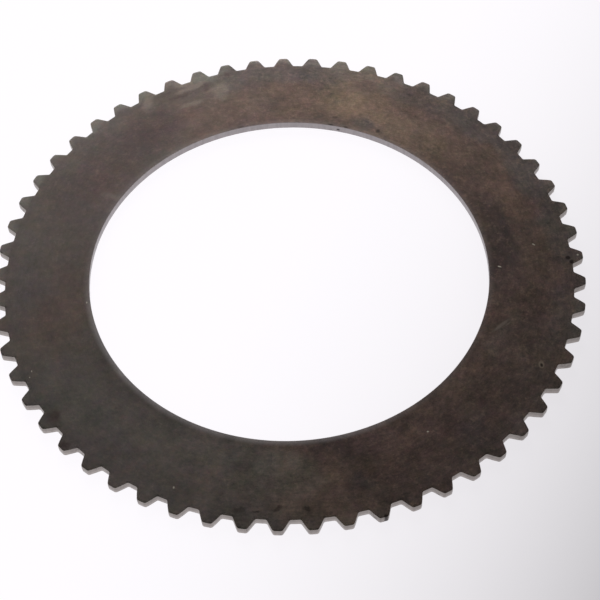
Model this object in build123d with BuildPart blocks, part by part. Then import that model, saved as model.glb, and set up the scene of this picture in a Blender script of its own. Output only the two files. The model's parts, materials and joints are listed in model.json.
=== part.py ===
"""Steel clutch disc: a flat blanked ring with drive teeth round its rim and a plain round bore.

Sizes are in millimetres and angles in degrees. The ring lies on its lower face: Z points up along its
axis, the origin is the bore's centre on the lower face, and the first tooth points along +X.
"""

from build123d import *

import os
from math import acos, cos, radians, sin, tan

# Drive teeth: involute splines with 8 teeth for each inch of pitch diameter
tooth_count = 57
tooth_module = 3.175
pressure_angle = 30.0
addendum = 1.59
dedendum = 1.99
tooth_thickness = 4.56
tip_corner_radius = 0.9
root_fillet_radius = 0.7

# Ring: its width is the flat band from the bore to the roots of the teeth
ring_width = 26.2
plate_thickness = 2.5
tip_edge_break = 0.3
bore_edge_break = 0.2

# Radii and angles that follow from the teeth and the ring
pitch_radius = tooth_count * tooth_module / 2
tip_radius = pitch_radius + addendum
root_radius = pitch_radius - dedendum
base_radius = pitch_radius * cos(radians(pressure_angle))
bore_radius = root_radius - ring_width
half_pitch_angle = 180 / tooth_count


def involute(angle):
    """How far an involute has turned where its pressure angle is this, both in radians."""
    return tan(angle) - angle


def polar_point(radius, angle):
    """The point at this distance from the axis, at an angle in degrees from +X."""
    return (radius * cos(radians(angle)), radius * sin(radians(angle)))


def flank_point(radius, side):
    """A point of one flank of the tooth on +X; side is 1 for the upper flank and -1 for the lower one."""
    narrowing = involute(radians(pressure_angle)) - involute(acos(base_radius / radius))
    half_angle = tooth_thickness / (2 * pitch_radius) + narrowing
    return (radius * cos(half_angle), side * radius * sin(half_angle))


# The round blank with its bore. The die has rolled its upper rim over, which shows at the tooth tips
with BuildPart() as blank:
    Cylinder(tip_radius, plate_thickness, align=(Align.CENTER, Align.CENTER, Align.MIN))
    upper_rim = blank.edges().filter_by(GeomType.CIRCLE).sort_by(Axis.Z)[-1]
    chamfer(upper_rim, tip_edge_break)
    Hole(bore_radius)
    bore_wall = blank.faces().filter_by(GeomType.CYLINDER).sort_by(SortBy.RADIUS)[0]
    chamfer(bore_wall.edges().filter_by(GeomType.CIRCLE), bore_edge_break)

# One tooth with its tip corners rounded, its foot sunk below the root circle by the root fillet
foot_radius = root_radius - root_fillet_radius
with BuildSketch() as tooth:
    with BuildLine():
        rising_flank = ThreePointArc(
            flank_point(foot_radius, -1), flank_point(pitch_radius, -1), flank_point(tip_radius, -1)
        )
        tip_land = ThreePointArc(rising_flank @ 1, (tip_radius, 0), flank_point(tip_radius, 1))
        falling_flank = ThreePointArc(
            tip_land @ 1, flank_point(pitch_radius, 1), flank_point(foot_radius, 1)
        )
        Line(falling_flank @ 1, rising_flank @ 0)
    make_face()
    tip_corners = tooth.vertices().filter_by(lambda corner: corner.center().length > pitch_radius)
    fillet(tip_corners, tip_corner_radius)

# The slice of the disc that carries that tooth, from the middle of one tooth space to the next
with BuildSketch() as slice_outline:
    Circle(root_radius)
    add(tooth.sketch)
    root_corners = slice_outline.vertices().filter_by(lambda corner: corner.center().length < pitch_radius)
    fillet(root_corners, root_fillet_radius)
    with BuildLine():
        Polyline(
            (0, 0),
            polar_point(2 * tip_radius, -half_pitch_angle),
            polar_point(2 * tip_radius, half_pitch_angle),
            close=True,
        )
    make_face(mode=Mode.INTERSECT)

with BuildPart() as disc_slice:
    add(blank.part)
    extrude(slice_outline.sketch, amount=plate_thickness, mode=Mode.INTERSECT)

with BuildPart() as clutch_disc:
    with PolarLocations(0, tooth_count):
        add(disc_slice.part)

clutch_disc.part.label = "clutch_disc"

os.makedirs("parts", exist_ok=True)
export_step(clutch_disc.part, "parts/clutch_disc.step")
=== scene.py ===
"""A used steel clutch disc, its edges rolled and sheared, its face dark from oil, in a pale studio."""

import json
from collections import namedtuple
from math import atan, cos, pi, radians, sin, tan

import bmesh
import bpy
from bpy.props import FloatProperty, FloatVectorProperty, IntProperty, PointerProperty
from bpy.types import Operator, Panel, PropertyGroup
from mathutils import Matrix, Vector, noise


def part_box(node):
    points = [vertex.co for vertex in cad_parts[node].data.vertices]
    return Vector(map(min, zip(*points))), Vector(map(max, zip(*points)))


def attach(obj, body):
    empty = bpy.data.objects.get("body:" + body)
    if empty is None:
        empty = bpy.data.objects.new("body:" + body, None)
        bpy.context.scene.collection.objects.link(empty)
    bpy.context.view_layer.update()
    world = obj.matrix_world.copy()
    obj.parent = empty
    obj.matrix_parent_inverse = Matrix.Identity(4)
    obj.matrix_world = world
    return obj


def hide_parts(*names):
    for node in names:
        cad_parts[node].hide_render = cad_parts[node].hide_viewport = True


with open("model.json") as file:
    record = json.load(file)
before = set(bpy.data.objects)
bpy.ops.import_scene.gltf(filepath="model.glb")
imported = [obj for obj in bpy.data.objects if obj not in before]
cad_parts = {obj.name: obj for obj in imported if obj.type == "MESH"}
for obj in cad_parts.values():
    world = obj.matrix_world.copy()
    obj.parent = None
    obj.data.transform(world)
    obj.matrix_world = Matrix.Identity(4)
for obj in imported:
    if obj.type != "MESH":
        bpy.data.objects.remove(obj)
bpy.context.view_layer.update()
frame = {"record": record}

bl_info = {
    "name": "Clutch Disc",
    "version": (1, 0, 0),
    "blender": (4, 5, 0),
    "location": "View3D > Sidebar > Clutch Disc",
    "description": "Builds a used steel clutch disc and the studio it lies in",
    "category": "Object",
}

# The object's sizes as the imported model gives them, in metres
MOUNTS = {mount["name"]: mount for mount in frame["record"]["mounts"]}
BORE_RADIUS = MOUNTS["bore"]["dims"]["r_mm"] / 1000
TIP_RADIUS = MOUNTS["drive_teeth"]["dims"]["r_mm"] / 1000
PITCH_RADIUS = MOUNTS["drive_teeth"]["dims"]["pcd_mm"] / 2000
TOOTH_COUNT = MOUNTS["drive_teeth"]["dims"]["count"]
PLATE_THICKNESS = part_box("clutch_disc")[1].z

PIECE_NAME = "clutch_disc_steel"
MM = 0.001

# Points and heights closer together than this count as the same
FLUSH = 1e-6

# How finely the outline's corners and the bore are drawn
CORNER_SEGMENTS = 6
BORE_CUTS = 9


def length(name, description, default):
    """A property that holds a length in metres."""
    return FloatProperty(
        name=name, description=description, default=default, unit="LENGTH", precision=5
    )


def angle(name, description, default):
    """A property that holds an angle, written here in degrees."""
    return FloatProperty(name=name, description=description, default=radians(default), subtype="ANGLE")


def share(name, description, default):
    """A property that holds a share from 0 to 1."""
    return FloatProperty(
        name=name, description=description, default=default, min=0, max=1, subtype="FACTOR"
    )


def colour(name, description, default):
    """A property that holds a linear colour."""
    return FloatVectorProperty(
        name=name, description=description, default=default, size=3, min=0, max=1, subtype="COLOR"
    )


class DiscShape(PropertyGroup):
    """Sizes of the toothed ring and of its rolled and sheared edges."""

    tooth_count: IntProperty(
        name="Teeth", description="Drive teeth round the rim", default=TOOTH_COUNT, min=3
    )
    bore_radius: length("Bore Radius", "Radius of the plain hole", BORE_RADIUS)
    tip_radius: length("Tip Radius", "Radius to the tooth tips", TIP_RADIUS)
    pitch_radius: length("Pitch Radius", "Radius where the tooth thickness is measured", PITCH_RADIUS)
    root_radius: length("Root Radius", "Radius to the floor of the tooth spaces", 0.0884975)
    thickness: length("Thickness", "Thickness of the sheet", PLATE_THICKNESS)
    tooth_thickness: length("Tooth Thickness", "Width of a tooth on the pitch circle", 0.00456)
    pressure_angle: angle("Pressure Angle", "Slope of the tooth flanks at the pitch circle", 30)
    tip_corner_radius: length("Tip Corner Radius", "Rounding of the two corners of a tooth tip", 0.0009)
    root_fillet_radius: length("Root Fillet Radius", "Rounding where a tooth meets the ring", 0.0007)
    droop_width: length("Droop Width", "Width of the border that the die drew down", 0.0009)
    tip_droop: length("Tip Droop", "How deep the border lies at the tooth tips", 0.00014)
    bore_droop: length("Bore Droop", "How deep the border lies at the edge of the bore", 0.00016)
    tip_roll: length("Tip Roll", "Width of the rolled upper edge at the tooth tips", 0.0002)
    root_roll: length("Root Roll", "Width of the rolled upper edge between the teeth", 0.00008)
    bore_roll: length("Bore Roll", "Width of the rolled upper edge round the bore", 0.00006)
    shear_depth: length("Shear Depth", "Height of the smooth sheared band below the face", 0.0014)
    break_taper: length("Break Taper", "How far the torn band below it falls back", 0.00008)


class SteelFinish(PropertyGroup):
    """Colours of the disc's faces and of its cut walls."""

    grey: colour("Grey Steel", "Oiled steel where no stain lies on it", (0.083, 0.0675, 0.062))
    green: colour("Green Grey", "Cooler film at the left and lower left", (0.086, 0.075, 0.069))
    brown: colour("Brown", "Warm brown film over the right half", (0.096, 0.066, 0.055))
    orange: colour("Orange Brown", "Thin rust", (0.112, 0.074, 0.057))
    straw: colour("Straw", "Heat tint of the hottest patches", (0.136, 0.095, 0.068))
    violet: colour("Violet Brown", "Darker heat tint beside the straw patches", (0.066, 0.047, 0.044))
    olive: colour("Olive", "Dried oil", (0.112, 0.090, 0.075))
    pale: colour("Pale Smear", "Rubbed oil, the lightest film", (0.143, 0.115, 0.098))
    worn: colour("Worn Tip", "Tooth tips rubbed clean by the drum", (0.118, 0.105, 0.094))
    slate: colour("Slate", "Blue grey film beside the bore", (0.055, 0.052, 0.056))
    dirt: colour("Dirt", "Caked dark grease", (0.021, 0.0155, 0.0145))
    fleck: colour("Bright Fleck", "Bare steel in nicks and scratches", (0.50, 0.46, 0.38))
    sheared: colour("Sheared Wall", "Burnished upper band of the teeth's walls", (0.300, 0.274, 0.257))
    torn: colour("Torn Wall", "Rougher lower band of the teeth's walls", (0.370, 0.340, 0.320))
    bore_wall: colour("Bore Wall", "Cooler grey of the bore's wall", (0.328, 0.303, 0.307))
    face_roughness: share("Face Roughness", "How dull the two faces are", 0.42)
    wall_roughness: share("Wall Roughness", "How dull the cut walls are", 0.38)


def polar(radius, turn, height=0.0):
    """The point at this radius, turned this many radians from +X."""
    return Vector((radius * cos(turn), radius * sin(turn), height))


def involute(pressure):
    """How far an involute has turned where its pressure angle is this."""
    return tan(pressure) - pressure


def half_tooth_angle(shape, radius):
    """Half the angle that a tooth fills at a radius, from the involute of its base circle."""
    base_radius = shape.pitch_radius * cos(shape.pressure_angle)
    pressure = atan((radius**2 - base_radius**2) ** 0.5 / base_radius)
    half_thickness = shape.tooth_thickness / (2 * shape.pitch_radius)
    return half_thickness + involute(shape.pressure_angle) - involute(pressure)


def round_corners(bm, radius, corners):
    """Rounds a pair of like corners of the flat slice."""
    bmesh.ops.bevel(
        bm,
        geom=corners,
        offset=radius * tan(corner_turn(corners[0]) / 2),
        offset_type="OFFSET",
        segments=CORNER_SEGMENTS,
        profile=0.5,
        affect="VERTICES",
        material=-1,
    )


def corner_turn(vert):
    """How far the outline turns at a corner, in radians."""
    before, after = (edge.other_vert(vert).co - vert.co for edge in vert.link_edges)
    return pi - before.angle(after)


def build_slice(shape):
    """One flat slice of the disc, a tooth with half a space each side, on the lower face."""
    half_pitch = pi / shape.tooth_count
    flank_radii = (shape.root_radius, shape.pitch_radius, shape.tip_radius)
    bm = bmesh.new()
    bore_ends = [bm.verts.new(polar(shape.bore_radius, side * half_pitch)) for side in (-1, 1)]
    space_ends = [bm.verts.new(polar(shape.root_radius, side * half_pitch)) for side in (-1, 1)]
    flanks = [
        [bm.verts.new(polar(radius, side * half_tooth_angle(shape, radius))) for radius in flank_radii]
        for side in (-1, 1)
    ]
    tip_middle = bm.verts.new(polar(shape.tip_radius, 0))
    outline = [*bore_ends[::-1], space_ends[0], *flanks[0], tip_middle, *flanks[1][::-1], space_ends[1]]
    bm.faces.new(outline)

    round_corners(bm, shape.tip_corner_radius, [flank[-1] for flank in flanks])
    round_corners(bm, shape.root_fillet_radius, [flank[0] for flank in flanks])
    bore_edge = bm.edges.get(bore_ends)
    cut = bmesh.ops.subdivide_edges(bm, edges=[bore_edge], cuts=BORE_CUTS)
    for vert in cut["geom_inner"]:
        if isinstance(vert, bmesh.types.BMVert):
            vert.co = vert.co.normalized() * shape.bore_radius
    return bm


def build_disc_mesh(shape):
    """The whole disc as a mesh: slices spun round the axis and raised to a plate with cut walls."""
    bm = build_slice(shape)
    bmesh.ops.spin(
        bm,
        geom=bm.verts[:] + bm.edges[:] + bm.faces[:],
        cent=(0, 0, 0),
        axis=(0, 0, 1),
        angle=2 * pi * (shape.tooth_count - 1) / shape.tooth_count,
        steps=shape.tooth_count - 1,
        use_duplicate=True,
    )
    bmesh.ops.remove_doubles(bm, verts=bm.verts, dist=FLUSH)
    raised = bmesh.ops.extrude_face_region(bm, geom=bm.faces[:])["geom"]
    upper_verts = [vert for vert in raised if isinstance(vert, bmesh.types.BMVert)]
    bmesh.ops.translate(bm, verts=upper_verts, vec=(0, 0, shape.thickness))
    bmesh.ops.recalc_face_normals(bm, faces=bm.faces)
    draw_rim_down(bm, shape)
    shear_height = shape.thickness - shape.shear_depth
    torn_middle = shear_height / 2
    for height in (shear_height, torn_middle):
        whole = bm.verts[:] + bm.edges[:] + bm.faces[:]
        bmesh.ops.bisect_plane(bm, geom=whole, plane_co=(0, 0, height), plane_no=(0, 0, 1))
    tear_walls(bm, shear_height, shape.break_taper)
    mark_rolled_edges(bm, shape)
    mesh = bpy.data.meshes.new(PIECE_NAME)
    bm.to_mesh(mesh)
    bm.free()
    return mesh


def beside_bore(shape, radius):
    """Whether a radius lies nearer to the bore than to the teeth."""
    return radius < (shape.bore_radius + shape.root_radius) / 2


def rim_share(shape, radius):
    """How far out a radius lies on the teeth: 0 at their roots and inside them, and 1 at the tips."""
    return max(0.0, (radius - shape.root_radius) / (shape.tip_radius - shape.root_radius))


def draw_rim_down(bm, shape):
    """Slopes a narrow border of the upper face down to the tooth tips and the bore, as a die does."""
    top = [face for face in bm.faces if face.calc_center_median().z > shape.thickness - FLUSH]
    outline = [vert for face in top for vert in face.verts]
    bmesh.ops.inset_region(
        bm, faces=top, thickness=shape.droop_width, use_boundary=True, use_even_offset=True
    )
    for vert in set(outline):
        neighbours = [edge.other_vert(vert) for edge in vert.link_edges]
        if any(abs(other.co.z) < FLUSH for other in neighbours):
            radius = vert.co.xy.length
            droop = shape.tip_droop * rim_share(shape, radius)
            if beside_bore(shape, radius):
                droop = shape.bore_droop
            vert.co.z -= droop


def tear_walls(bm, shear_height, taper):
    """Lets the torn band fall back from the sheared one, unevenly, as the sheet broke there."""
    waves_per_metre = 700.0
    most_uneven = 0.5
    bm.normal_update()
    moves = []
    for vert in bm.verts:
        if vert.co.z < shear_height - FLUSH:
            outward = Vector((vert.normal.x, vert.normal.y, 0)).normalized()
            unevenness = 1 + most_uneven * noise.noise(vert.co * waves_per_metre)
            depth = taper * (1 - vert.co.z / shear_height) * unevenness
            moves.append((vert, outward * -depth))
    for vert, move in moves:
        vert.co += move


def mark_rolled_edges(bm, shape):
    """Weights the upper edges by how far they were rolled over, and keeps the lower ones sharp."""
    sharpest_rounding = radians(60)
    drooped_height = shape.thickness - 2 * shape.tip_droop
    weights = bm.edges.layers.float.new("bevel_weight_edge")
    for edge in bm.edges:
        heights = [vert.co.z for vert in edge.verts]
        on_outline = len(edge.link_faces) == 2 and edge.calc_face_angle(0) > sharpest_rounding
        if on_outline and min(heights) > drooped_height:
            radius = sum(vert.co.xy.length for vert in edge.verts) / 2
            roll = shape.root_roll + (shape.tip_roll - shape.root_roll) * rim_share(shape, radius)
            if beside_bore(shape, radius):
                roll = shape.bore_roll
            edge[weights] = roll / shape.tip_roll
        elif on_outline and max(heights) < FLUSH:
            edge.smooth = False


class ShaderTree:
    """Adds nodes to a material or world, each fed by values or by other nodes' outputs."""

    def __init__(self, owner):
        owner.use_nodes = True
        self.nodes = owner.node_tree.nodes
        self.links = owner.node_tree.links

    def add(self, kind, inputs, label="", **settings):
        """A node of this kind; its inputs are given by name or number."""
        node = self.nodes.new(kind)
        node.label = label
        for name, value in settings.items():
            setattr(node, name, value)
        for socket, value in inputs.items():
            self.feed(node.inputs[socket], value)
        return node

    def feed(self, socket, value):
        """Links an output to this input, or sets its value."""
        if isinstance(value, bpy.types.NodeSocket):
            self.links.new(value, socket)
        else:
            socket.default_value = value

    def math(self, operation, first, second=0.0, label=""):
        """The result of one sum on numbers."""
        return self.add("ShaderNodeMath", {0: first, 1: second}, label, operation=operation).outputs[0]

    def vector(self, operation, inputs, label=""):
        """The place or direction that comes of one sum on them."""
        return self.add("ShaderNodeVectorMath", inputs, label, operation=operation).outputs[0]

    def part(self, place, axis):
        """How far a place or direction reaches along X, Y or Z."""
        return self.add("ShaderNodeSeparateXYZ", {0: place}).outputs[axis]

    def distance(self, place):
        """How far a place lies from the disc's centre."""
        return self.add("ShaderNodeVectorMath", {0: place}, operation="LENGTH").outputs["Value"]

    def ramp(self, value, low, high, start=0.0, end=1.0, label=""):
        """A soft step from start to end, as the value goes from low to high."""
        inputs = {"Value": value, "From Min": low, "From Max": high, "To Min": start, "To Max": end}
        node = self.add("ShaderNodeMapRange", inputs, label, interpolation_type="SMOOTHSTEP")
        return node.outputs["Result"]

    def mix(self, factor, first, second, label="", blend="MIX"):
        """The first colour with the second laid over it."""
        # A Mix node's colours go by number, because its other sockets have the same names
        inputs = {"Factor": factor, 6: first, 7: second}
        return self.add("ShaderNodeMix", inputs, label, data_type="RGBA", blend_type=blend).outputs[2]

    def noise(self, place, size, detail, roughness, label, output="Fac"):
        """Cloudy noise whose largest blotches are about this long, in metres."""
        inputs = {"Vector": place, "Scale": 0.5 / size, "Detail": detail, "Roughness": roughness}
        return self.add("ShaderNodeTexNoise", inputs, label).outputs[output]

    def along(self, place, turn, label=""):
        """How far a place lies out from the axis, in the direction this many degrees from +X."""
        inputs = {"Vector": place, "Rotation": (0, 0, radians(turn))}
        turned = self.add("ShaderNodeMapping", inputs, label, vector_type="TEXTURE").outputs["Vector"]
        return self.part(turned, "X")

    def spot(self, place, spot):
        """1 inside an oval spot on the disc, falling softly to 0 round it."""
        reach = 1 + spot.softness
        inputs = {
            "Vector": place,
            "Location": (spot.x * MM, spot.y * MM, spot.z * MM),
            "Rotation": (0, 0, radians(spot.turn)),
            "Scale": tuple(size * reach * MM for size in (spot.length, spot.width, spot.depth)),
        }
        inside = self.add("ShaderNodeMapping", inputs, spot.name, vector_type="TEXTURE")
        centred = {0: inside.outputs["Vector"]}
        gradient = self.add("ShaderNodeTexGradient", centred, spot.name, gradient_type="SPHERICAL")
        border = 2 * spot.softness / reach
        return self.ramp(gradient.outputs["Fac"], 0, border, 0.0, spot.strength, spot.name)


# A stain or mark: its middle, half length and half width in mm, its turn from +X in degrees, the
# colour it takes from the finish, how strongly, and how soft its border is. On a wall it also has a
# height and a half height. Without them it reaches through the sheet
WHOLE_HEIGHT = 1000
Spot = namedtuple(
    "Spot", "name x y length width turn tint strength softness z depth", defaults=(0, WHOLE_HEIGHT)
)

# Large films, drawn with widely ragged borders
STAINS = (
    Spot("green film left", -60, -50, 27, 12, -48, "green", 0.75, 0.6),
    Spot("green film below", -32.8, -65.9, 16, 7, -25, "olive", 0.5, 0.6),
    Spot("dark film upper left", -55, 49, 16, 6, 48, "violet", 0.35, 0.7),
    Spot("dark film upper left, second", -38, 65, 14, 6.5, 28, "violet", 0.7, 0.7),
    Spot("brown film left", -70.6, -12, 13, 8, 80, "brown", 0.5, 0.7),
    Spot("brown film inner left", -58.6, 35.7, 8, 5, 60, "brown", 0.25, 0.7),
    Spot("rust inner upper left", -25, 61, 10, 3.5, 25, "orange", 0.3, 0.7),
    Spot("rust band behind", -5.9, 70.6, 24, 6, -2, "orange", 0.45, 0.6),
    Spot("grey rim behind", -7.9, 83.6, 17, 4, 3, "grey", 0.8, 0.6),
    Spot("grey rim right behind", 29, 80, 16, 4.5, -22, "olive", 0.6, 0.6),
    Spot("straw behind", 22.5, 71, 8, 8, 60, "straw", 0.85, 0.7),
    Spot("straw right behind", 36.9, 59.6, 11, 8, -38, "straw", 0.5, 0.8),
    Spot("straw far right", 48.8, 48.7, 11, 6, -48, "straw", 0.35, 0.8),
    Spot("grey rim right", 64.7, 55.7, 16, 4.5, -48, "grey", 0.75, 0.6),
    Spot("rust band right", 70.5, 26, 15, 4.5, -72, "orange", 0.8, 0.7),
    Spot("rust band far right", 76.5, -4, 15, 4.5, -88, "orange", 0.6, 0.7),
    Spot("dark inner right", 67.3, 9, 15, 3.0, -84, "violet", 1.0, 0.5),
    Spot("dark inner right, lower", 66, -4, 9, 2.6, -94, "violet", 0.85, 0.7),
    Spot("grey film right", 82.6, -20.1, 14, 3, -100, "grey", 0.5, 0.7),
    Spot("olive film right", 65, -27, 3.6, 7, -30, "pale", 0.5, 0.7),
    Spot("olive film lower right", 70.7, -41, 6, 5, 20, "olive", 0.35, 0.8),
    Spot("dark patch lower right", 63.2, -47, 3.4, 3.2, 0, "violet", 0.5, 0.6),
    Spot("violet patch lower right", 50.8, -61.9, 6, 4, -40, "violet", 0.4, 0.7),
    Spot("violet patch below", 16.5, -77.4, 3, 3, 0, "violet", 0.4, 0.6),
    Spot("rust below right", 43, -58, 14, 8, 40, "brown", 0.6, 0.8),
    Spot("dark brown inner below", 16, -64, 26, 3.5, 14, "violet", 0.6, 0.7),
    Spot("olive patch below", -6, -74, 14, 8, 0, "olive", 1.0, 0.35),
    Spot("violet patch left below", -27.8, -73.9, 9, 4, -20, "violet", 0.25, 0.7),
    Spot("violet patch upper left", -49.2, 69.1, 5, 4, 45, "violet", 0.3, 0.6),
    Spot("golden film far right", 77, 3, 3, 5, 0, "straw", 0.35, 0.7),
    Spot("golden film right below", 75, -36, 4, 3, -60, "straw", 0.35, 0.7),
    Spot("slate rim behind", 10, 85, 4, 3.5, 0, "slate", 0.4, 0.7),
    Spot("violet rim right behind", 44, 75, 8, 3.5, -31, "violet", 0.2, 0.7),
    Spot("rust behind the bore", -2, 71, 10, 7, 0, "orange", 0.35, 0.7),
    Spot("dull film behind", -12, 69, 14, 7, 10, "brown", 0.75, 0.7),
    Spot("dull film inner right behind", 20, 62, 10, 3, -18, "violet", 0.3, 0.7),
    Spot("light film lower left", -24, -66, 17, 9, -20, "worn", 0.6, 0.7),
    Spot("dark film left behind", -55, 50, 26, 8, 48, "violet", 0.5, 0.7),
    Spot("dark film lower right", 58, -52, 30, 13, 48, "violet", 0.4, 0.7),
    Spot("dark film inner right", 65, 9, 5, 20, 8, "dirt", 0.35, 0.7),
    Spot("dark film right", 74, -6, 14, 28, -5, "violet", 0.45, 0.7),
    Spot("green rim right", 83, 18, 26, 4, -78, "green", 0.5, 0.7),
    Spot("green rim far right", 75, 41, 14, 4, -61, "green", 0.4, 0.7),
    Spot("violet film left", -67, 10, 18, 9, 85, "violet", 0.25, 0.7),
    Spot("violet film behind", 1, 70, 9, 8, 0, "violet", 0.2, 0.7),
    Spot("violet rim below right", 31, -81, 14, 5, 21, "violet", 0.3, 0.7),
    Spot("violet film lower right", 62, -36, 9, 12, -30, "violet", 0.3, 0.7),
    Spot("straw right of the bore", 47, 45, 7, 5, -45, "straw", 0.3, 0.7),
    Spot("olive film outer below", -10, -81, 18, 8, 4, "olive", 0.4, 0.6),
    Spot("green rim left", -83, 6, 26, 5, 86, "green", 0.5, 0.8),
    Spot("light film left below", -56, -51, 32, 13, -45, "worn", 0.35, 0.7),
    Spot("dark rim right below", 63, -60, 20, 3, 44, "green", 0.3, 0.7),
    Spot("dark film behind the bore", -16, 64, 14, 3, 13, "violet", 0.5, 0.7),
    Spot("light film outer lower left", -33, -81, 40, 7, -22, "worn", 0.5, 0.7),
)

# Smears and patches over the mottling, and one painted highlight at the bore, drawn with finely ragged
# borders
SMEARS = (
    Spot("smear outer", -29.6, 80.2, 5.8, 1.3, 30, "pale", 0.85, 0.5),
    Spot("smear between teeth", -31.5, 82.3, 2.8, 1.5, 22, "pale", 0.75, 0.5),
    Spot("smear on a tooth", -26.8, 85.4, 2.6, 2.2, 0, "worn", 0.6, 0.5),
    Spot("smear right end", -19.8, 78.6, 2.4, 3.6, 0, "pale", 0.8, 0.6),
    Spot("smear inner", -29, 73.4, 3.8, 1.0, 28, "pale", 0.7, 0.6),
    Spot("smear left end", -44, 74.8, 1.6, 3.2, -10, "pale", 0.65, 0.6),
    Spot("dark gap in the smear", -33, 77.2, 4.2, 1.0, 25, "violet", 0.7, 0.5),
    Spot("dark blot in the smear", -23.8, 79.9, 1.5, 1.4, 0, "violet", 0.6, 0.5),
    Spot("dark blot at a root", -17.2, 85.9, 1.2, 1.0, 0, "violet", 0.7, 0.5),
    Spot("dark blot at a root, second", -38, 78.4, 1.6, 1.0, 25, "violet", 0.6, 0.5),
    Spot("blue grey patch at the bore", 28.3, 59.8, 4.8, 2.0, -28, "slate", 0.6, 0.7),
    Spot("violet patch over the straw", 29.7, 76.9, 4, 2.5, -20, "violet", 0.5, 0.6),
    Spot("violet patch below the bore", -16.8, -70, 2.5, 2.5, 0, "violet", 0.35, 0.6),
    Spot("rust patch below the bore", 8, -66.6, 2.6, 1.5, 0, "orange", 0.25, 0.6),
    Spot("slate patch below", 17, -76.9, 3.2, 2.8, 0, "slate", 0.3, 0.7),
    Spot("slate patch lower right", 51.1, -62.2, 4.5, 4, 45, "slate", 0.35, 0.7),
    Spot("olive patch lower right", 51, -55.3, 5, 2.5, -35, "olive", 0.25, 0.6),
    # A painted highlight, not a smear: a pale streak where the bore's left edge catches the light
    Spot("painted sheen at the bore, left", -55.5, 34, 3.5, 1.2, -25, "pale", 0.45, 0.7),
    Spot("dark blotch on a left tooth", -72.1, -49.3, 2.6, 2.2, 60, "violet", 0.85, 0.6),
    Spot("dark blotch on a left tooth, second", -68.2, -59.6, 1.6, 1.4, 0, "violet", 0.7, 0.6),
    Spot("grease smudge below", -18.3, -84.1, 1.8, 0.6, 10, "dirt", 0.4, 0.6),
    Spot("grease smudge below, second", -7.6, -84.5, 1.5, 0.5, 10, "dirt", 0.6, 0.6),
    Spot("grease smudge below, third", 1, -84.6, 1.5, 0.5, -40, "dirt", 0.55, 0.6),
    Spot("grease smudge below, fourth", -13, -85.1, 1.1, 0.35, 0, "dirt", 0.6, 0.6),
)

# Nicks, scratches, pits and grease, drawn with plain borders on faces and walls
MARKS = (
    Spot("bright pit", 77.3, 5.2, 0.5, 0.24, -40, "fleck", 0.6, 0.5),
    Spot("bright nick", 65.6, -2.8, 0.55, 0.22, -25, "fleck", 0.85, 0.4),
    Spot("bright nick left", -78.9, -32.7, 0.15, 0.3, 0, "fleck", 0.55, 0.5),
    Spot("bright nick left, second", -79.4, -34.9, 0.15, 0.25, 0, "fleck", 0.5, 0.5),
    Spot("bright nick left of the bore", -62.9, -8.1, 0.2, 0.35, 0, "fleck", 0.5, 0.5),
    Spot("bright fleck below", -36.6, -75.7, 0.25, 0.35, 0, "fleck", 0.7, 0.5),
    Spot("bright fleck lower right", 37.5, -61.7, 0.3, 0.25, 0, "fleck", 0.7, 0.5),
    Spot("bright fleck on a tooth", 90.5, 0.2, 0.3, 0.3, 0, "fleck", 0.6, 0.5),
    Spot("rim of a pit", 73.6, -40.4, 0.8, 1.2, 0, "fleck", 0.3, 0.3),
    Spot("rust on that rim", 73.6, -40.4, 0.9, 1.3, 0, "straw", 0.6, 0.4),
    Spot("bottom of that pit", 73.6, -40.6, 0.4, 0.65, 0, "dirt", 0.9, 0.4),
    Spot("scratch", 63.3, -25.3, 2.9, 0.5, 38, "pale", 0.8, 0.6),
    Spot("scratch beside it", 65.5, -24.9, 1.1, 0.2, 38, "pale", 0.6, 0.5),
    Spot("rust spot at the bore", 32.3, 56.4, 0.75, 0.7, 0, "dirt", 0.6, 0.5),
    Spot("grease spot behind the bore", 18.5, 63.6, 0.8, 0.5, -10, "dirt", 0.5, 0.6),
    Spot("grease at the bore", 16.8, 60.4, 0.9, 0.3, -16, "dirt", 0.8, 0.5),
    Spot("grease at the bore, second", 21.8, 58.9, 0.8, 0.3, -20, "dirt", 0.8, 0.5),
    Spot("grease at the bore, left", -13.1, 61.5, 1.0, 0.4, 12, "dirt", 0.5, 0.6),
    Spot("grease on the bore wall", 19.3, 59.3, 0.55, 0.6, -18, "dirt", 0.85, 0.4, 1.1, 0.4),
    Spot("grease in a right root", 87.3, -0.8, 0.8, 0.7, 0, "dirt", 0.95, 0.4),
    Spot("grease in a right root, second", 88.2, -2.4, 0.8, 0.6, 60, "dirt", 0.95, 0.4),
    Spot("grease in a lower root", -13.1, -88.3, 0.45, 0.45, 0, "dirt", 0.95, 0.4),
    Spot("grease in a lower left root", -32.2, -83.5, 0.6, 0.6, 0, "dirt", 0.8, 0.5),
    Spot("grease in a lower right root", 18.3, -87.1, 0.5, 0.25, -40, "dirt", 0.9, 0.5),
    Spot("grease on a lower tip", 23.1, -88.9, 0.55, 0.6, 0, "dirt", 0.9, 0.4),
)


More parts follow.
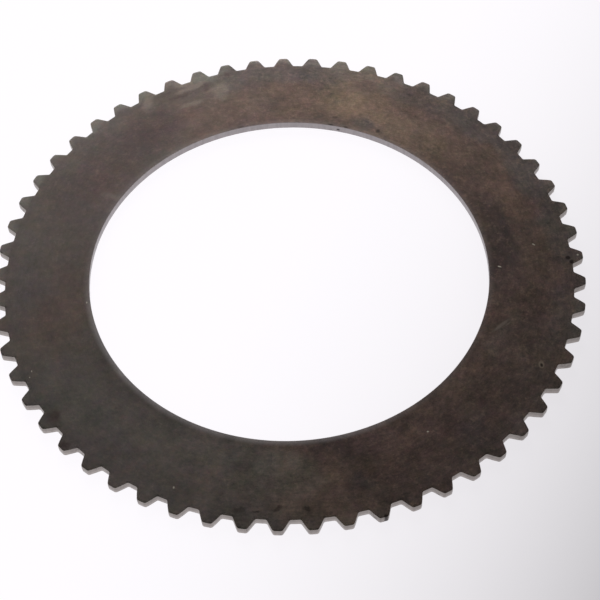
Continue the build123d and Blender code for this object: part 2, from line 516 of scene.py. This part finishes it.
def used_steel(finish, shape):
    """Blanked steel with an oil-dark, heat-stained face and bare grey walls."""
    material = bpy.data.materials.new("used_steel")
    tree = ShaderTree(material)
    shader = tree.nodes["Principled BSDF"]
    place = tree.add("ShaderNodeTexCoord", {}, "Object").outputs["Object"]
    frayed = pushed_about(tree, place, size=9 * MM, reach=16 * MM)
    ragged = pushed_about(tree, place, size=2.5 * MM, reach=5 * MM)
    face = face_share(tree)
    upper = tree.math("MULTIPLY", face, upper_side(tree, place, shape), "upper face")

    film = film_colour(tree, finish, frayed, upper)
    film = clouded(tree, finish, place, film)
    film = stained(tree, finish, SMEARS, ragged, upper, film)
    film = flecked(tree, finish, place, film)
    # A painted highlight along the bore's edge, brightest on its near side
    film = highlight_at_bore(tree, finish, shape, place, film)
    walls = wall_colour(tree, finish, shape, place)
    surface = tree.mix(face, walls, film, "walls and faces")
    for mark in MARKS:
        surface = tree.mix(tree.spot(place, mark), surface, tint(finish, mark.tint), mark.name)
    tree.feed(shader.inputs["Base Color"], surface)
    tree.feed(shader.inputs["Metallic"], 1.0)

    smudges = tree.noise(place, 6 * MM, 4, 0.7, "smudges")
    glossiest = finish.face_roughness - 0.05
    dullest = finish.face_roughness + 0.06
    face_roughness = tree.ramp(smudges, 0.3, 0.7, glossiest, dullest, "smudges")
    # The two numbers of a Mix node are its sockets 2 and 3
    inputs = {"Factor": face, 2: finish.wall_roughness, 3: face_roughness}
    roughness = tree.add("ShaderNodeMix", inputs, "roughness").outputs[0]
    tree.feed(shader.inputs["Roughness"], roughness)
    tree.feed(shader.inputs["Normal"], worn_bump(tree, place))
    return material


def tint(finish, name):
    """One of the finish's colours, as a shader socket takes it."""
    return (*getattr(finish, name), 1)


def stained(tree, finish, spots, place, where, film):
    """The film with these spots laid over it one after another, only where the mask is 1."""
    for spot in spots:
        amount = tree.math("MULTIPLY", tree.spot(place, spot), where, spot.name)
        film = tree.mix(amount, film, tint(finish, spot.tint), spot.name)
    return film


def pushed_about(tree, place, size, reach):
    """The place pushed about by noise of this size, which gives what is drawn on it a ragged border."""
    middle_grey = (0.5, 0.5, 0.5)
    cloud = tree.noise(place, size, 3, 0.6, "ragged borders", "Color")
    centred = tree.vector("SUBTRACT", {0: cloud, 1: middle_grey})
    return tree.vector("MULTIPLY_ADD", {0: centred, 1: (reach, reach, 0), 2: place}, "ragged")


def laid_straight(tree, place, stretch):
    """The place with its radius stretched, so that a pattern on it is drawn out along the rings."""
    middle_radius = 77 * MM
    flat = tree.vector("MULTIPLY", {0: place, 1: (1, 1, 0)})
    radius = tree.distance(flat)
    outward = tree.vector("NORMALIZE", {0: flat})
    ring = tree.vector("SCALE", {0: outward, "Scale": middle_radius})
    height = tree.math("MULTIPLY", radius, stretch)
    rise = tree.add("ShaderNodeCombineXYZ", {"Z": height}).outputs[0]
    return tree.vector("ADD", {0: ring, 1: rise}, "along the rings")


def face_share(tree):
    """1 on the two flat faces and 0 on the walls, changing over on the rolled edges."""
    normal = tree.add("ShaderNodeNewGeometry", {}).outputs["Normal"]
    flatness = tree.math("ABSOLUTE", tree.part(normal, "Z"))
    return tree.ramp(flatness, 0.75, 0.99, label="faces")


def upper_side(tree, place, shape):
    """1 on the upper half of the sheet, where the photographed stains lie."""
    height = tree.part(place, "Z")
    return tree.ramp(height, shape.thickness * 0.4, shape.thickness * 0.6, label="upper half")


def film_colour(tree, finish, frayed, upper):
    """The film on the faces: grey left, brown right, greyer at the rim, with the large stains on it."""
    linings_end = 79 * MM
    grey_from = 85 * MM
    teeth_begin = 87.5 * MM
    worn_from = 91 * MM
    sides = tree.add("ShaderNodeSeparateXYZ", {0: frayed}).outputs
    brown_side = tree.ramp(sides["X"], -40 * MM, 5 * MM, label="browner to the right")
    film = tree.mix(brown_side, tint(finish, "grey"), tint(finish, "brown"), "grey to brown")
    outward = tree.distance(frayed)
    far_side = tree.ramp(sides["Y"], -60 * MM, 0.0, 0.35, 1.0, "greyer rim behind")
    rim = tree.ramp(outward, linings_end, grey_from, 0.0, 0.6, "past the linings")
    greyer = tree.math("MULTIPLY", rim, far_side)
    film = tree.mix(greyer, film, tint(finish, "grey"), "greyer rim")
    # Lighter tooth tips: partly wear, partly a painted highlight that makes them lighter toward the far
    # side, where the rolled tips catch the light
    tips = tree.ramp(outward, teeth_begin, worn_from, 0.0, 0.85, "tips")
    worn_and_lit_tips = tree.math("MULTIPLY", tips, far_side)
    film = tree.mix(worn_and_lit_tips, film, tint(finish, "worn"), "worn tips with painted highlight")
    return stained(tree, finish, STAINS, frayed, upper, film)


def rough_side(tree, place):
    """How strongly the film is broken up: less over the left half."""
    smooth_until = -50 * MM
    rough_from = 15 * MM
    across = tree.part(place, "X")
    return tree.ramp(across, smooth_until, rough_from, 0.45, 1.0, "rougher to the right")


def clouded(tree, finish, place, film):
    """The film with warm, cool, light and dark clouds as large as a fingertip."""
    warmest = 0.75
    coolest = 0.5
    darkest = 0.42
    lightest = 1.6
    strength = rough_side(tree, place)
    hue = tree.noise(place, 5 * MM, 5, 0.85, "warm and cool mottling")
    warm = tree.math("MULTIPLY", tree.ramp(hue, 0.5, 0.85, 0.0, warmest), strength)
    cool = tree.math("MULTIPLY", tree.ramp(hue, 0.5, 0.15, 0.0, coolest), strength)
    film = tree.mix(warm, film, tint(finish, "orange"), "warm mottling")
    film = tree.mix(cool, film, tint(finish, "green"), "cool mottling")
    clouds = tree.noise(place, 12 * MM, 4, 0.75, "tinted clouds", "Color")
    film = tree.mix(0.1, film, clouds, "tinted clouds", "OVERLAY")
    blotches = tree.noise(place, 10 * MM, 6, 0.9, "light and dark mottling")
    level = tree.ramp(blotches, 0.1, 0.9, darkest, lightest)
    return tree.mix(strength, film, level, "mottled", "MULTIPLY")


def flecked(tree, finish, place, film):
    """The film with tinted specks, rust flecks, pits and lines rubbed along the rings."""
    specks = tree.noise(place, 2.5 * MM, 4, 1.0, "tinted specks", "Color")
    film = tree.mix(0.2, film, specks, "tinted specks", "OVERLAY")
    rubs = tree.noise(laid_straight(tree, place, stretch=3.0), 1.5 * MM, 3, 0.8, "rubbed lines")
    flecks = tree.noise(place, 0.9 * MM, 3, 0.85, "rust flecks and pits")
    rust = tree.ramp(flecks, 0.53, 0.72, 0.0, 0.4, "rust flecks")
    relief = tree.math("ADD", tree.ramp(rubs, 0.35, 0.7, -0.09, 0.17, "rubbed lines"), rust)
    relief = tree.math("SUBTRACT", relief, tree.ramp(flecks, 0.46, 0.24, 0.0, 0.25, "pits"))
    strength = rough_side(tree, place)
    level = tree.math("ADD", tree.math("MULTIPLY", relief, strength), 1.0)
    film = tree.mix(1.0, film, level, "flecks, pits and lines", "MULTIPLY")
    rusty = tree.math("MULTIPLY", rust, tree.math("POWER", strength, 2.0), "fewer to the left")
    return tree.mix(rusty, film, tint(finish, "straw"), "rust flecks")


def highlight_at_bore(tree, finish, shape, place, film):
    """A painted highlight along the edge of the bore: the film there turns to the wall's grey, most of
    all on the bore's near side.
    """
    far_side_turn = 62
    edge = shape.bore_radius
    highlight_until = edge + 2.3 * MM
    brightest_until = edge + 0.5 * MM
    outward = tree.distance(place)
    across = tree.along(place, far_side_turn, "near and far")
    # Painted highlight: a wide band that is stronger on the near side, and a narrow band right at the
    # edge all round
    highlight_near_side = tree.ramp(across, -20 * MM, -55 * MM, 0.1, 0.5, "highlight stronger on the near side")
    rubbed = tree.ramp(outward, highlight_until, edge, label="rubbed")
    bare = tree.ramp(outward, brightest_until, edge, 0.0, 0.35, "bare")
    amount = tree.math("MAXIMUM", tree.math("MULTIPLY", rubbed, highlight_near_side), bare)
    return tree.mix(amount, film, tint(finish, "bore_wall"), "painted highlight at the bore")


def wall_colour(tree, finish, shape, place):
    """Bare cut steel: a burnished band above, a lighter torn band below, with a wavering border."""
    wave = 0.3 * MM
    blur = 0.15 * MM
    border = shape.thickness - shape.shear_depth
    wander = tree.noise(place, 3 * MM, 3, 0.6, "wavering border")
    waver = tree.ramp(wander, 0.2, 0.8, -wave, wave)
    height = tree.math("ADD", tree.part(place, "Z"), waver)
    below = tree.ramp(height, border + blur, border - blur)
    teeth = tree.mix(below, tint(finish, "sheared"), tint(finish, "torn"), "sheared above, torn below")
    at_rim = tree.ramp(tree.distance(place), 70 * MM, 80 * MM, label="teeth or bore")
    walls = tree.mix(at_rim, tint(finish, "bore_wall"), teeth, "bore and teeth")
    drawn_out = {"Vector": place, "Scale": (1, 1, 6)}
    upright = tree.add("ShaderNodeMapping", drawn_out, "upright", vector_type="TEXTURE").outputs[0]
    streaks = tree.noise(upright, 0.6 * MM, 3, 0.7, "drag lines")
    level = tree.ramp(streaks, 0.2, 0.8, 0.88, 1.12)
    walls = tree.mix(1.0, walls, level, "drag lines", "MULTIPLY")
    grime = tree.noise(place, 1.5 * MM, 4, 0.8, "grime on the walls")
    amount = tree.math("MULTIPLY", tree.ramp(grime, 0.56, 0.72, 0.0, 0.6), at_rim)
    return tree.mix(amount, walls, tint(finish, "grey"), "grime on the walls")


def worn_bump(tree, place):
    """The fine grain of the sheet."""
    depth = 0.03 * MM
    grain = tree.noise(place, 0.5 * MM, 3, 0.6, "grain")
    inputs = {"Strength": 0.25, "Distance": depth, "Height": grain}
    return tree.add("ShaderNodeBump", inputs, "grain").outputs["Normal"]


class CLUTCHDISC_OT_disc(Operator):
    """Build the toothed steel ring with its rolled and sheared edges"""

    bl_idname = "clutch_disc.build_disc"
    bl_label = "Clutch Disc"

    def execute(self, context):
        """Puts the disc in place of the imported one, on the root body."""
        shape = context.scene.clutch_disc_shape
        finish = context.scene.clutch_disc_finish
        disc = bpy.data.objects.new(PIECE_NAME, build_disc_mesh(shape))
        context.collection.objects.link(disc)
        disc.data.shade_smooth()
        roll = disc.modifiers.new("Rolled edges", "BEVEL")
        roll.limit_method = "WEIGHT"
        roll.width = shape.tip_roll
        roll.segments = 4
        roll.profile = 0.5
        roll.use_clamp_overlap = False
        flats = disc.modifiers.new("Flat faces shade flat", "WEIGHTED_NORMAL")
        flats.keep_sharp = True
        disc.data.materials.append(used_steel(finish, shape))
        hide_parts("clutch_disc")
        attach(disc, "root")
        return {"FINISHED"}


class StudioSettings(PropertyGroup):
    """Where the camera stands and how bright the studio is."""

    view_height: angle("View Height", "Angle of the line of sight below the horizon", 53.404)
    view_turn: angle("View Turn", "Turn of the camera's side about the disc's axis, from +X", -1.396)
    view_roll: angle("View Roll", "Turn of the camera about its line of sight", -1.995)
    distance: length("Distance", "Depth of the disc's centre in front of the camera", 0.53798)
    lens: FloatProperty(
        name="Lens", description="Focal length for a sensor 36 mm wide, in mm", default=103.45
    )
    centre_right: length("Centre Right", "How far right of the line of sight the disc lies", -0.003465)
    centre_up: length("Centre Up", "How far above the line of sight the disc lies", 0.00911)
    floor_colour: colour("Floor", "Colour of the pale floor", (0.8, 0.8, 0.8))
    floor_glow: colour("Floor Glow", "Tint of the light in the floor", (0.988, 0.963, 1.0))
    horizon: share("Horizon", "Brightness of the studio low down", 1.0)
    zenith: share("Zenith", "Brightness of the studio overhead", 0.1)
    lamp_power: FloatProperty(
        name="Lamp Power", description="Power of the large soft lamp", default=8.1, unit="POWER"
    )
    lamp_size: length("Lamp Size", "Side of the square soft lamp", 0.8)
    lamp_distance: length("Lamp Distance", "How far the lamp stands from the disc", 1.3)
    lamp_turn: angle("Lamp Turn", "Where the lamp stands, from +X", 97)
    lamp_height: angle("Lamp Height", "How high the lamp stands above the floor", 24)


class CLUTCHDISC_OT_stage(Operator):
    """Build the pale floor, the soft lights and the camera"""

    bl_idname = "clutch_disc.build_stage"
    bl_label = "Studio"

    def execute(self, context):
        """Sets the stage up from the panel's values."""
        settings = context.scene.clutch_disc_studio
        context.scene.view_settings.view_transform = "Standard"
        build_camera(context, settings)
        build_floor(context, settings)
        build_world(context, settings)
        build_lamp(context, settings)
        return {"FINISHED"}


def build_camera(context, settings):
    """A camera that sees the disc's centre at the given place in its own view."""
    side = polar(1, settings.view_turn)
    away = polar(1, settings.view_turn + pi / 2)
    up = Vector((0, 0, 1))
    sight = away * cos(settings.view_height) - up * sin(settings.view_height)
    lift = away * sin(settings.view_height) + up * cos(settings.view_height)
    right = side * cos(settings.view_roll) + lift * sin(settings.view_roll)
    above = lift * cos(settings.view_roll) - side * sin(settings.view_roll)
    centre = Vector((0, 0, PLATE_THICKNESS))
    offset = right * settings.centre_right + above * settings.centre_up
    place = centre - offset - sight * settings.distance
    data = bpy.data.cameras.new("Camera")
    data.lens = settings.lens
    data.sensor_width = 36
    data.clip_start = 0.01
    camera = bpy.data.objects.new("Camera", data)
    turn = Matrix((right, above, -sight)).transposed()
    camera.matrix_world = Matrix.Translation(place) @ turn.to_4x4()
    context.collection.objects.link(camera)
    context.scene.camera = camera


def build_floor(context, settings):
    """A white sheet just under the disc, which glows for the camera and keeps a faint shadow."""
    gap = 0.1 * MM
    half_side = 3
    bm = bmesh.new()
    bmesh.ops.create_grid(bm, x_segments=1, y_segments=1, size=half_side)
    bmesh.ops.translate(bm, verts=bm.verts, vec=(0, 0, -gap))
    mesh = bpy.data.meshes.new("floor")
    bm.to_mesh(mesh)
    bm.free()
    floor = bpy.data.objects.new("floor", mesh)
    context.collection.objects.link(floor)
    mesh.materials.append(white_sheet(settings))


def seen_directly(tree):
    """1 for what the camera sees, straight or in a reflection, and 0 for the light on other things."""
    rays = tree.add("ShaderNodeLightPath", {}).outputs
    seen = tree.math("MAXIMUM", rays["Is Camera Ray"], rays["Is Glossy Ray"])
    return tree.math("MAXIMUM", seen, rays["Is Transmission Ray"], "seen")


def white_sheet(settings):
    """White paper that glows, dimmer to one side, as the photo's ground is at its lower right."""
    dim_side_turn = -30
    dims_before_centre = 50 * MM
    dims_over = 232 * MM
    most_lost = 0.45
    brightest = 1.1
    glow_share = 0.88
    material = bpy.data.materials.new("white_sheet")
    tree = ShaderTree(material)
    tree.nodes.remove(tree.nodes["Principled BSDF"])
    place = tree.add("ShaderNodeTexCoord", {}, "Object").outputs["Object"]
    along = tree.along(place, dim_side_turn, "towards the dim side")
    reach = tree.math("DIVIDE", tree.math("ADD", along, dims_before_centre), dims_over)
    reach = tree.math("MAXIMUM", reach, 0.0)
    loss = tree.math("MINIMUM", tree.math("POWER", reach, 3.0), most_lost, "falls off")
    glow = tree.math("MULTIPLY", tree.math("SUBTRACT", 1.0, loss), brightest, "glow")
    paper = tree.add("ShaderNodeBsdfDiffuse", {"Color": (*settings.floor_colour, 1)}).outputs[0]
    inputs = {"Color": (*settings.floor_glow, 1), "Strength": glow}
    light = tree.add("ShaderNodeEmission", inputs).outputs[0]
    seen = tree.math("MULTIPLY", seen_directly(tree), glow_share)
    surface = tree.add("ShaderNodeMixShader", {0: seen, 1: paper, 2: light}).outputs[0]
    tree.feed(tree.nodes["Material Output"].inputs["Surface"], surface)
    return material


def build_world(context, settings):
    """A soft studio, bright along the horizon and dimmer overhead."""
    world = bpy.data.worlds.new("studio")
    tree = ShaderTree(world)
    direction = tree.add("ShaderNodeTexCoord", {}).outputs["Generated"]
    height = tree.part(direction, "Z")
    level = tree.ramp(height, 0.3, 0.8, settings.horizon, settings.zenith, "dimmer overhead")
    background = tree.nodes["Background"]
    tree.feed(background.inputs["Color"], (1, 1, 1, 1))
    tree.feed(background.inputs["Strength"], level)
    context.scene.world = world


def build_lamp(context, settings):
    """One large soft lamp behind the disc."""
    data = bpy.data.lights.new("soft lamp", "AREA")
    data.energy = settings.lamp_power
    data.size = settings.lamp_size
    lamp = bpy.data.objects.new("soft lamp", data)
    across = polar(settings.lamp_distance * cos(settings.lamp_height), settings.lamp_turn)
    place = across + Vector((0, 0, settings.lamp_distance * sin(settings.lamp_height)))
    facing_disc = place.to_track_quat("Z", "Y").to_matrix().to_4x4()
    lamp.matrix_world = Matrix.Translation(place) @ facing_disc
    context.collection.objects.link(lamp)


class CLUTCHDISC_PT_panel(Panel):
    """Sizes, finish and buttons of the clutch disc"""

    bl_idname = "CLUTCHDISC_PT_panel"
    bl_label = "Clutch Disc"
    bl_space_type = "VIEW_3D"
    bl_region_type = "UI"
    bl_category = "Clutch Disc"

    def draw(self, context):
        """Lists each group's values above the button that uses them."""
        scene = context.scene
        for groups, button in (
            ((scene.clutch_disc_shape, scene.clutch_disc_finish), CLUTCHDISC_OT_disc),
            ((scene.clutch_disc_studio,), CLUTCHDISC_OT_stage),
        ):
            box = self.layout.box()
            for group in groups:
                for name in group.__annotations__:
                    box.prop(group, name)
            box.operator(button.bl_idname)


GROUPS = {
    "clutch_disc_shape": DiscShape,
    "clutch_disc_finish": SteelFinish,
    "clutch_disc_studio": StudioSettings,
}
CLASSES = (*GROUPS.values(), CLUTCHDISC_OT_disc, CLUTCHDISC_OT_stage, CLUTCHDISC_PT_panel)


def register():
    """Adds the classes to Blender and their values to the scene."""
    for cls in CLASSES:
        bpy.utils.register_class(cls)
    for name, group in GROUPS.items():
        setattr(bpy.types.Scene, name, PointerProperty(type=group))


def unregister():
    """Takes them away again."""
    for name in GROUPS:
        delattr(bpy.types.Scene, name)
    for cls in reversed(CLASSES):
        bpy.utils.unregister_class(cls)


def main():
    """Builds the disc and the stage."""
    register()
    bpy.ops.clutch_disc.build_disc()
    bpy.ops.clutch_disc.build_stage()


if __name__ == "__main__":
    main()
